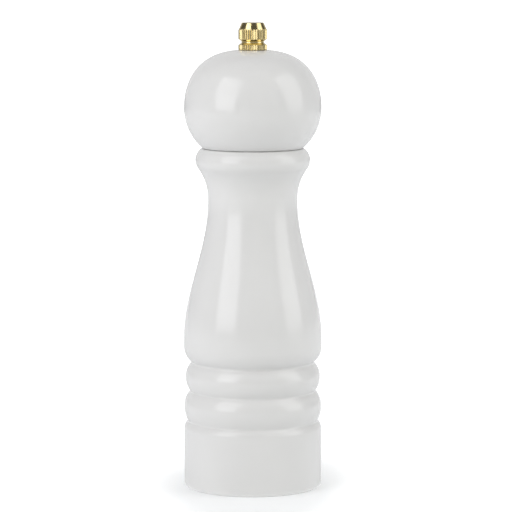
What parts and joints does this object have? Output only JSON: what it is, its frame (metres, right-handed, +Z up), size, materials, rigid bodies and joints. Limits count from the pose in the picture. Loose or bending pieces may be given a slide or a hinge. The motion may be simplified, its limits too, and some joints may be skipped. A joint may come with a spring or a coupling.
{
  "type": "pepper mill",
  "caption": "Tall turned pepper mill in white satin lacquer: a round head turns a ceramic grinder in the base, and a knurled brass knob on top sets the coarseness.",
  "frame": {"origin": "on the mill's axis, at the face that it stands on", "axes": "+Z up along the axis of the head, the shaft and the body; the grinder's two long screws lie along X"},
  "size_m": [0.06, 0.0598, 0.2021],
  "materials": {
    "white_lacquer": "satin white lacquer over close-grained wood",
    "brass": "turned and polished",
    "steel": "bright zinc-plated",
    "spring_steel": "drawn wire",
    "ceramic": "fired ceramic, matt with a slight sheen",
    "black_nylon": "moulded",
    "white_nylon": "moulded"
  },
  "bodies": {
    "base": {"mill_body": "white_lacquer", "grinder_housing": "black_nylon", "bridge": "steel", "stator_burr": "ceramic", "stator_retainer": "black_nylon", "housing_screws": "steel"},
    "guide": {"shaft_bush": "white_nylon", "spring_washer": "steel"},
    "drive": {"shaft": "steel", "rotor_burr": "ceramic", "rotor_hub": "black_nylon", "rotor_washer": "steel", "rotor_lock_nut": "steel", "spring": "spring_steel"},
    "top": {"head": "white_lacquer", "head_ferrule": "brass", "drive_plate": "steel", "drive_plate_screws": "steel"},
    "knob": {"adjusting_knob": "brass"}
  },
  "joints": [
    {"name": "head_turn", "type": "hinge", "parent": "base", "child": "guide", "pos_m": [0, 0, 0.0393], "axis": [0, 0, 1], "continuous": true},
    {"name": "grind_adjust", "type": "slide", "parent": "guide", "child": "drive", "axis": [0, 0, 1], "range_m": [0, 0.002], "deforming": ["spring"]},
    {"name": "head_lift", "type": "slide", "parent": "guide", "child": "top", "axis": [0, 0, 1], "range_m": [0, 0.075]},
    {"name": "knob_turn", "type": "hinge", "parent": "top", "child": "knob", "pos_m": [0, 0, 0.1962], "axis": [0, 0, 1], "range_deg": [-720, 0]}
  ],
  "couplings": [
    {"joint": "knob_turn", "follows": "grind_adjust", "rad_per_m": -6283.2}
  ]
}
